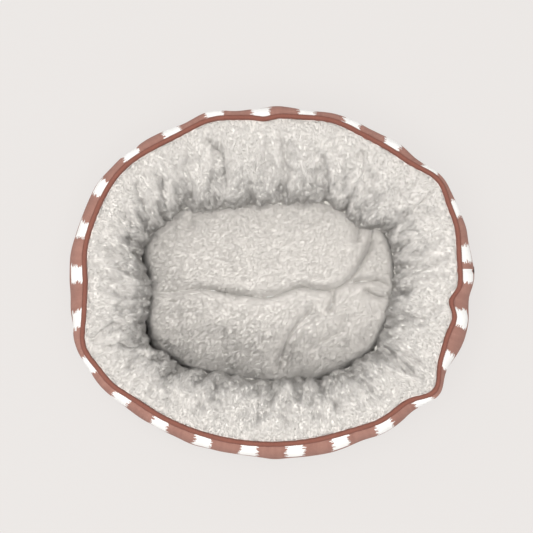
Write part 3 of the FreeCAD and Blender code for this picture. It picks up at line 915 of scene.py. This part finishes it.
def plush_finish(name, root, tip, shade, evenness=1.0):
    """Short-pile plush, pale at the tips and painted darker towards the roots as shade deep in the pile, with
    soft patches of painted shade where the pile was stroked.
    Light spreads through the pile, so a tuft is lit partly as the skin under it is: evenness weighs
    the skin's normal against the tuft's own. It reads the marks "pile" and "lie" of add_pile."""
    finish, nodes, links, shader = new_material(name, 1.0)
    tree = finish.node_tree
    shader.inputs["Sheen Weight"].default_value = 0.25
    shader.inputs["Sheen Roughness"].default_value = 0.6
    shader.inputs["Specular IOR Level"].default_value = 0.15
    mark = nodes.new("ShaderNodeAttribute")
    mark.attribute_name = "pile"
    place = object_place(tree)
    patches = noise_value(tree, place, 60, 4, 0.6)
    fibres = noise_value(tree, place, 900, 2, 0.5)
    # Painted shade: the colour darkens from the tips down to the roots, where the pile shades itself.
    depth = math_node(tree, "POWER", mark.outputs["Fac"], 0.7)
    colour = mixed(tree, depth, root, tip)
    # Fine fibres and soft patches mix in the last colour, which is painted shade of the stroked pile.
    fibre_and_patch_shade = math_node(tree, "MULTIPLY_ADD", fibres, 0.35, math_node(tree, "MULTIPLY", patches, 0.4))
    links.new(mixed(tree, fibre_and_patch_shade, colour, shade), shader.inputs["Base Color"])
    add_bump(tree, shader, fibres, 0.0003, 0.6)
    lie = nodes.new("ShaderNodeAttribute")
    lie.attribute_name = "lie"
    to_world = nodes.new("ShaderNodeVectorTransform")
    to_world.vector_type = "NORMAL"
    to_world.convert_from = "OBJECT"
    to_world.convert_to = "WORLD"
    links.new(lie.outputs["Vector"], to_world.inputs[0])
    evened = nodes.new("ShaderNodeVectorMath")
    evened.operation = "MULTIPLY_ADD"
    evened.inputs[1].default_value = (evenness, evenness, evenness)
    links.new(to_world.outputs[0], evened.inputs[0])
    links.new(nodes.new("ShaderNodeNewGeometry").outputs["Normal"], evened.inputs[2])
    level = nodes.new("ShaderNodeVectorMath")
    level.operation = "NORMALIZE"
    links.new(evened.outputs[0], level.inputs[0])
    links.new(level.outputs[0], shader.inputs["Normal"].links[0].from_node.inputs["Normal"])
    return finish


# The first colour is the roots' painted shade; the last is the painted shade of the stroked patches.
plush = plush_finish(
    "plush", (0.49, 0.458, 0.425, 1), (0.8, 0.779, 0.75, 1), (0.7, 0.673, 0.64, 1)
)
skin_normals = grid_normals(skin_rows, -1.0)
skin_rows = skin_rows - skin_normals * tuck_depths[..., None]
skin_normals = grid_normals(skin_rows, -1.0)
skin_rows = tousled(skin_rows, skin_normals, (75, 190), (0.0018, 0.0013))
row_naps = np.gradient(skin_rows, axis=0)
row_naps /= np.linalg.norm(row_naps, axis=2, keepdims=True)
roll = new_piece("roll_plush", skin_rows, ring_faces(*skin_rows.shape[:2]))
roll_tufts = 125000
add_pile(roll, row_naps.reshape(-1, 3), roll_tufts, 0.0064, 0.00034, 0.75, 5)
roll.data.materials.append(plush)
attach(roll, "bed")
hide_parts("bolster_plush_cover")


# ---- Roll stuffing -------------------------------------------------------------------------
# Polyester fibre fills the roll and the hollow wall below it, from the foam to the lining.
# It follows the plush from just under its backing.

def fibre_finish(name):
    """Loose polyester fibre: white, matted and uneven."""
    finish, nodes, links, shader = new_material(name, 0.9)
    tree = finish.node_tree
    strands = noise_value(tree, object_place(tree), 240, 6, 0.75)
    colour = mixed(tree, strands, (0.55, 0.55, 0.54, 1), (0.92, 0.92, 0.91, 1))
    links.new(colour, shader.inputs["Base Color"])
    add_bump(tree, shader, strands, 0.002)
    return finish


fibre = fibre_finish("polyester_fibre")
stuffing_gap = 0.011
stuffing_inset = 0.0895
even_skin = softened(skin_points.copy(), 4)
skin_inner = even_skin - stuffing_gap * grid_normals(even_skin, -1.0)
nest_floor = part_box("floor_lining")[1].z
nest_reach = 0.7 * np.clip(-pulls(roll_bearing, lip_marks), 0, None)
thin_out = wall_columns // roll_columns
stuffing_rows = list(skin_inner[1:-2])
for height in np.linspace(0.082, nest_floor + 0.001, 6):
    row = oval_row(stuffing_inset, height, roll_columns)
    row[:, 1] += lip_shift * float(ease((height - nest_floor) / 0.08))
    row[:, :2] += outwards * nest_reach[:, None]
    stuffing_rows.append(row)
inner_foam = [wall_row(*values, wall_length, depth=foam_back + 0.002) for values in foam_steps]
stuffing_rows += [row[::thin_out] for row in reversed(inner_foam)]
stuffing_faces = ring_faces(len(stuffing_rows), roll_columns, closed=True)
stuffing = new_piece("roll_stuffing", stuffing_rows, stuffing_faces)
face_outwards(stuffing, close=False)
stuffing.data.materials.append(fibre)
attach(stuffing, "bed")
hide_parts("bolster_filling")


# ---- Rim binding ---------------------------------------------------------------------------
# A strip of brown cotton cut on the bias is rolled over a cord and sewn between wall and plush.
# A row of thread lies in the crease on its inner side, and draws it in at each stitch.

binding_columns, binding_sides = 1920, 10
binding_radius = 0.0032
stitch_pitch = 0.0028
stitches = round(perimeter * 0.91 / stitch_pitch)
rim_inset, rim_height = 0.0205, 0.1500
binding_place = np.arange(binding_columns) / binding_columns * wall_columns


def at_columns(values, places):
    """Values of the wall's columns read at other places round the bed."""
    wrapped = np.concatenate([values, values[:1]])
    return np.interp(places, np.arange(len(wrapped)), wrapped)


rim_pull = at_columns(pulls(bearing, seam_marks), binding_place)
rim_rise = at_columns(seam_height_wave, binding_place)
draw_in = np.abs(np.sin(np.arange(binding_columns) / binding_columns * math.pi * stitches))
thickness = binding_radius * (0.9 + 0.1 * draw_in + 0.05 * ripple(binding_columns, 40, 120, 8, 51))
binding_rows = tube_rows(
    rim_inset - rim_pull, rim_height + rim_rise, thickness, binding_columns, binding_sides
)
binding = new_piece("rim_roll", binding_rows, ring_faces(binding_sides, binding_columns, closed=True))
rim_length = perimeter - 2 * math.pi * rim_inset
binding_step = rim_length / binding_columns
binding_round = np.linspace(0, 2 * math.pi * binding_radius, binding_sides + 1)
lay_pattern(binding, np.arange(binding_columns) * binding_step, binding_step, binding_round)
face_outwards(binding, close=False)
binding.data.materials.append(binding_cotton)
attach(binding, "bed")
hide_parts("rim_binding")

stitch_length, stitch_radius = 0.0021, 0.00032
bpy.ops.mesh.primitive_uv_sphere_add(segments=6, ring_count=5, radius=stitch_radius)
stitch = bpy.context.object
bpy.ops.object.mode_set(mode="EDIT")
bpy.ops.transform.resize(value=(1, stitch_length / 2 / stitch_radius, 1))
bpy.ops.object.mode_set(mode="OBJECT")
stitch_form = np.array([v.co for v in stitch.data.vertices])
stitch_faces = [list(p.vertices) for p in stitch.data.polygons]
bpy.data.objects.remove(stitch)
stitch_places = (np.arange(stitches) + 0.5) / stitches * wall_columns
stitch_out = directions(stitches)
stitch_angle = math.radians(52)
crease_inset = rim_inset + binding_radius * math.cos(stitch_angle)
crease_height = rim_height + binding_radius * math.sin(stitch_angle) * 0.86
stitch_rows = oval_row(
    crease_inset - at_columns(pulls(bearing, seam_marks), stitch_places),
    crease_height + at_columns(seam_height_wave, stitch_places),
    stitches,
)
stitch_along = np.roll(stitch_rows, -1, axis=0) - np.roll(stitch_rows, 1, axis=0)
stitch_along /= np.linalg.norm(stitch_along, axis=1, keepdims=True)
stitch_across = np.stack([stitch_out[:, 0], stitch_out[:, 1], np.zeros(stitches)], 1)
stitch_up = np.cross(stitch_across, stitch_along)
thread_points = (
    stitch_rows[:, None]
    + stitch_form[None, :, :1] * stitch_across[:, None]
    + stitch_form[None, :, 1:2] * stitch_along[:, None]
    + stitch_form[None, :, 2:] * stitch_up[:, None]
)
thread_faces = [[v + i * len(stitch_form) for v in f] for i in range(stitches) for f in stitch_faces]
thread_mesh = bpy.data.meshes.new("rim_stitches")
thread_mesh.from_pydata(thread_points.reshape(-1, 3).tolist(), [], thread_faces)
thread_mesh.shade_smooth()
rim_stitches = bpy.data.objects.new("rim_stitches", thread_mesh)
bpy.context.collection.objects.link(rim_stitches)
# Partly painted shade: the stitches are real thread, but it is coloured near black, darker than the binding,
# to stand for the shadow each stitch leaves in the crease.
thread_finish, nodes, links, shader = new_material("sewing_thread", 0.6)
twist = noise_value(thread_finish.node_tree, object_place(thread_finish.node_tree), 1400, 2)
dark_thread_and_shade, pale_thread_and_shade = (0.035, 0.01, 0.007, 1), (0.1, 0.03, 0.02, 1)
links.new(mixed(thread_finish.node_tree, twist, dark_thread_and_shade, pale_thread_and_shade), shader.inputs["Base Color"])
rim_stitches.data.materials.append(thread_finish)
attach(rim_stitches, "bed")


# ---- Lip elastic ---------------------------------------------------------------------------
# A round elastic lies in the hem of the plush and draws it in.
# Its braided cover shows only from underneath.

def ring_along(centres, radius, sides):
    """Rings of a closed tube along a closed line of points round the bed."""
    ahead = np.roll(centres, -1, axis=0) - np.roll(centres, 1, axis=0)
    outward = np.cross(ahead, (0, 0, 1))
    outward /= np.linalg.norm(outward, axis=1, keepdims=True)
    rows = []
    for side in range(sides):
        around = 2 * math.pi * side / sides
        rows.append(centres + radius * (outward * math.cos(around) + np.array([0, 0, math.sin(around)])))
    return rows


elastic_radius, elastic_sides = 0.0024, 10
hem_line = skin_points[-1] + np.array([0, 0, -0.0005])
elastic_rows = ring_along(hem_line, elastic_radius, elastic_sides)
elastic = new_piece("hem_elastic", elastic_rows, ring_faces(elastic_sides, roll_columns, closed=True))
elastic_step = perimeter * 0.6 / roll_columns
elastic_round = np.linspace(0, 2 * math.pi * elastic_radius, elastic_sides + 1)
lay_pattern(elastic, np.arange(roll_columns) * elastic_step, elastic_step, elastic_round)
face_outwards(elastic, close=False)
elastic_finish, nodes, links, shader = new_material("elastic", 0.75)
braid_height, braid_shade = woven(elastic_finish.node_tree, uv_place(elastic_finish.node_tree), 0.0009)
links.new(
    mixed(elastic_finish.node_tree, braid_shade, (0.45, 0.42, 0.38, 1), (0.82, 0.8, 0.76, 1)),
    shader.inputs["Base Color"],
)
add_bump(elastic_finish.node_tree, shader, braid_height, 0.0003)
elastic.data.materials.append(elastic_finish)
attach(elastic, "bed")
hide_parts("lip_elastic")


# ---- Inner lining --------------------------------------------------------------------------
# Plush hangs from the hem to the floor of the nest, with a short pile and a few soft folds.
# It shows when the cushion is lifted out.

lining_drops = 12
lining_foot = oval_row(half_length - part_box("inner_wall_lining")[1].x, nest_floor + 0.0006, roll_columns)
lining_foot[:, :2] += outwards * nest_reach[:, None]
lining_folds = 0.002 * ripple(roll_columns, 12, 30, 8, 61)
lining_rows = []
for share in np.linspace(0, 1, lining_drops):
    row = hem_line * (1 - share) + lining_foot * share
    row[:, :2] -= outwards * (lining_folds * math.sin(math.pi * share))[:, None]
    lining_rows.append(row)
lining_rows = finer(np.array(lining_rows), (3, 2))
lining = new_piece("nest_lining", lining_rows, ring_faces(*lining_rows.shape[:2]))
lining.modifiers.new("thickness", "SOLIDIFY").thickness = 0.0012
lining.modifiers["thickness"].offset = 1.0
apply_modifiers(lining)
face_outwards(lining, close=False)
lining_plush = plush_finish(
    "lining_plush", (0.6, 0.55, 0.5, 1), (0.9, 0.87, 0.82, 1), (0.7, 0.655, 0.6, 1)
)
lining.data.materials.append(lining_plush)
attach(lining, "bed")
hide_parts("inner_wall_lining")

plain_cloth = cloth_finish("plain_cloth", (0.42, 0.38, 0.33, 1), (0.66, 0.61, 0.55, 1), 0.0008)
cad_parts["floor_lining"].data.materials.clear()
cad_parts["floor_lining"].data.materials.append(plain_cloth)


# ---- Side label ----------------------------------------------------------------------------
# A blank strip of dark satin, folded in half, is caught in the seam at the bed's right end.

label_low, label_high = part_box("side_label")
label_columns = 9
label_path = [(label_low.x + 0.0004, label_high.z)]
label_path += [(label_low.x + 0.0006, z) for z in np.linspace(label_high.z - 0.003, label_low.z + 0.002, 8)]
label_path += [
    (label_low.x + 0.0008 + 0.0007 * (1 - math.cos(a)), label_low.z + 0.0014 - 0.0011 * math.sin(a))
    for a in np.linspace(0.3, math.pi - 0.3, 6)
]
label_path += [(label_low.x + 0.0021, z) for z in np.linspace(label_low.z + 0.002, label_high.z - 0.003, 8)]
label_path += [(label_low.x + 0.0009, label_high.z)]
label_points = []
for x, z in label_path:
    for share in np.linspace(0, 1, label_columns):
        y = label_low.y + (label_high.y - label_low.y) * share
        curl = 0.0005 * (2 * share - 1) ** 2
        label_points.append((x - curl - 0.0016, y, z))
label_index = np.arange(len(label_points)).reshape(len(label_path), label_columns)
label_faces = np.stack(
    [label_index[:-1, :-1], label_index[:-1, 1:], label_index[1:, 1:], label_index[1:, :-1]], 2
).reshape(-1, 4)
label = new_piece("blank_label", label_points, label_faces)
label.modifiers.new("thickness", "SOLIDIFY").thickness = 0.00035
label.modifiers["thickness"].offset = 0
apply_modifiers(label)
satin, nodes, links, shader = new_material("label_satin", 0.38)
sheen_lines = nodes.new("ShaderNodeTexWave")
sheen_lines.inputs["Scale"].default_value = 900
sheen_lines.inputs["Distortion"].default_value = 1.5
links.new(object_place(satin.node_tree), sheen_lines.inputs["Vector"])
links.new(
    mixed(satin.node_tree, sheen_lines.outputs["Fac"], (0.018, 0.012, 0.011, 1), (0.05, 0.035, 0.03, 1)),
    shader.inputs["Base Color"],
)
label.data.materials.append(satin)
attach(label, "bed")
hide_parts("side_label")


# ---- Cushion -------------------------------------------------------------------------------
# A loose pad of plush over fibre, slackly filled. It lies in the nest a little too large for it,
# so its top is pushed into lobes with a crease between them and folds towards the right.

cushion_low, cushion_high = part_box("cushion_plush_cover")
cushion_inset = half_length - cushion_high.x - 0.0075
cushion_columns = 480
cushion_line = oval(cushion_inset, cushion_columns)
across_share, along_share = cushion_line[:, 1] / half_width, cushion_line[:, 0] / half_length
cushion_bearing = np.degrees(np.arctan2(across_share, along_share)) % 360
cushion_reach = 0.9 * np.clip(-pulls(cushion_bearing, lip_marks), 0, None)
cushion_line = cushion_line + directions(cushion_columns) * cushion_reach[:, None]
cushion_middle = 0.042                  # height of the cushion's widest line
cushion_crown = 0.0755
top_shares = np.concatenate([np.linspace(0.004, 0.9, 84), 1 - np.geomspace(0.09, 0.002, 20), [1.0]])
side_rows = 8


def top_height(share):
    """Height of the cushion's top at a share of the way from its middle to its edge."""
    dome = (cushion_crown - 0.010) + 0.010 * (1 - share ** 2)
    rounding = np.clip((share - 0.93) / 0.07, 0, 1)
    return cushion_middle + (dome - cushion_middle) * np.sqrt(np.clip(1 - rounding ** 2.4, 0, 1))


cushion_rows = []
for share in top_shares:
    row = np.zeros((cushion_columns, 3))
    row[:, :2] = cushion_line * share
    row[:, 2] = top_height(share)
    cushion_rows.append(row)
for share in np.linspace(0, 1, side_rows)[1:]:
    angle = share * math.pi / 2
    row = np.zeros((cushion_columns, 3))
    row[:, :2] = cushion_line - directions(cushion_columns) * (0.009 * (1 - math.cos(angle)))
    row[:, 2] = cushion_middle + (cushion_low.z + 0.0005 - cushion_middle) * math.sin(angle)
    cushion_rows.append(row)
cushion_points = np.array(cushion_rows)

# The creases: their paths in mm from the middle, depth and shoulder in mm, and how many mm
# the cloth on their left rises over them.
creases = [
    ([
        (-164, -11), (-119, -9), (-88, -6), (-38, -14), (-2, -16), (37, -4), (58, -7), (78, -6),
        (98, 6), (112, 25), (123, 46), (127, 70), (126, 98),
    ], 13, 8, 1.5),
    ([(112, 84), (108, 50)], 7, 9, 0.0),
    ([(57, -24), (36, -45), (20, -68), (13, -90), (3, -122)], 11, 9, -4.0),
    ([(78, -4), (77, -20), (70, -40)], 10, 5, 0.0),
    ([(95, -33), (86, -57), (63, -73), (42, -87)], 6, 12, 0.0),
    ([(94, 0), (116, 4), (137, 3), (156, -7)], 9, 5, 1.5),
    ([(114, -5), (131, -14), (150, -17)], 9, 5, -1.5),
    ([(-117, -30), (-113, -100)], 2, 14, 0.0), ([(-90, -34), (-84, -108)], 2.5, 14, 0.0),
    ([(-62, -50), (-56, -116)], 3, 13, 0.0),
    ([(-96, 104), (-104, 66)], 4, 8, 0.0), ([(-72, 112), (-76, 82)], 3.5, 7, 0.0),
    ([(-12, 120), (-11, 92)], 3.5, 7, 0.0), ([(36, 118), (40, 92)], 3, 6, 0.0),
    ([(64, 114), (68, 88)], 3.5, 7, 0.0),
    ([(140, -50), (110, -80)], 4, 10, 0.0),
]


flat_points = cushion_points.reshape(-1, 3)
top_fade = 1 - 0.75 * ease((top_shares - 0.85) / 0.15)
edge_fade = np.repeat(np.concatenate([top_fade, np.zeros(side_rows - 1)]), cushion_columns)
sunk = np.zeros(len(flat_points))
for crease in creases:
    path, depth, shoulder, lift = crease
    sunk = sunk + crease_depth(flat_points[:, :2], np.array(path) / 1000, depth, shoulder, lift)
swells = np.array([noise.noise(Vector(p) * 16) for p in flat_points])
small_swells = np.array([noise.noise(Vector(p) * 45 + Vector((3, 1, 0))) for p in flat_points])
front_droop = 0.023 * ease((-flat_points[:, 1] - 0.045) / 0.075)
droop = front_droop + 0.003 * ease((np.abs(flat_points[:, 0]) - 0.075) / 0.075)
droop *= np.clip((flat_points[:, 2] - cushion_low.z) / (cushion_middle - cushion_low.z), 0, 1)
flat_points[:, 2] += edge_fade * (0.004 * swells + 0.0012 * small_swells - sunk) - droop
cushion_points = flat_points.reshape(cushion_points.shape)
cushion_normals = grid_normals(cushion_points, 1.0)
cushion_points = tousled(cushion_points, cushion_normals, (110, 240), (0.0005, 0.0003))
cushion = new_piece("cushion_plush", cushion_points, ring_faces(*cushion_points.shape[:2]))
face_outwards(cushion)
stroke = np.zeros((len(cushion.data.vertices), 3))
stroke[:] = (-0.75, -0.55, 0)
cushion_tufts = 115000
add_pile(cushion, stroke, cushion_tufts, 0.0045, 0.00027, 0.45, 6)
# Painted light and shade: the cushion wears the same plush as the roll. Its tips are coloured darker and its
# roots paler than the roll's so that it renders as bright as the roll beside it.
cushion_finish = plush_finish(
    "cushion_plush", (0.58, 0.549, 0.517, 1), (0.7, 0.677, 0.641, 1), (0.62, 0.59, 0.555, 1), 2.0
)
cushion.data.materials.append(cushion_finish)
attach(cushion, "cushion")
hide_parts("cushion_plush_cover")

filling_gap = 0.006
filling_points = (cushion_points - filling_gap * cushion_normals)[4::3, ::4]
filling_points[:, :, 2] = np.maximum(filling_points[:, :, 2], cushion_low.z + 0.0008)
filling = new_piece("cushion_fibre", filling_points, ring_faces(*filling_points.shape[:2]))
face_outwards(filling)
filling.data.materials.append(fibre)
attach(filling, "cushion")
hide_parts("cushion_filling")

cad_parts["cushion_underside"].data.materials.clear()
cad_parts["cushion_underside"].data.materials.append(plain_cloth)


# ---- Floor, light and camera ---------------------------------------------------------------
# A pale floor under a soft light from overhead and a little in front, with a weak fill from the
# back left, seen from almost straight above.

bpy.ops.mesh.primitive_grid_add(x_subdivisions=8, y_subdivisions=8, size=12, location=(0, 0, -0.0005))
floor = bpy.context.object
floor.name = "floor"
bpy.ops.object.transform_apply(location=True)
floor_finish, nodes, links, shader = new_material("floor", 0.9)
shader.inputs["Base Color"].default_value = (0.045, 0.0435, 0.0425, 1)
shader.inputs["Emission Color"].default_value = (0.83, 0.8, 0.78, 1)
shader.inputs["Emission Strength"].default_value = 0.88
floor.data.materials.append(floor_finish)

world = bpy.data.worlds.new("studio")
bpy.context.scene.world = world
world.use_nodes = True
world.node_tree.nodes["Background"].inputs["Color"].default_value = (1.0, 0.995, 0.985, 1)
world.node_tree.nodes["Background"].inputs["Strength"].default_value = 1.0


def soft_light(name, place, size, power, colour):
    """A square light that looks at the bed from a place."""
    light = bpy.data.lights.new(name, "AREA")
    light.size = size
    light.energy = power
    light.color = colour
    lamp = bpy.data.objects.new(name, light)
    lamp.location = place
    lamp.rotation_euler = (Vector((0, 0, 0.08)) - Vector(place)).to_track_quat("-Z", "Y").to_euler()
    bpy.context.collection.objects.link(lamp)


soft_light("key", (-0.15, -0.3, 2.3), 1.1, 47, (1.0, 0.985, 0.965))
soft_light("fill", (-1.2, 1.2, 2.2), 1.8, 7, (1.0, 0.99, 0.98))

camera = bpy.data.cameras.new("camera")
camera.lens = 141.8
eye = bpy.data.objects.new("camera", camera)
aim = Vector((-0.0056, 0.0204, 0.085))
tilt = math.radians(86)
eye.location = aim + 2.6 * Vector((0, -math.cos(tilt), math.sin(tilt)))
eye.rotation_euler = (math.radians(90) - tilt, 0, 0)
bpy.context.collection.objects.link(eye)
bpy.context.scene.camera = eye
bpy.context.scene.view_settings.view_transform = "Standard"
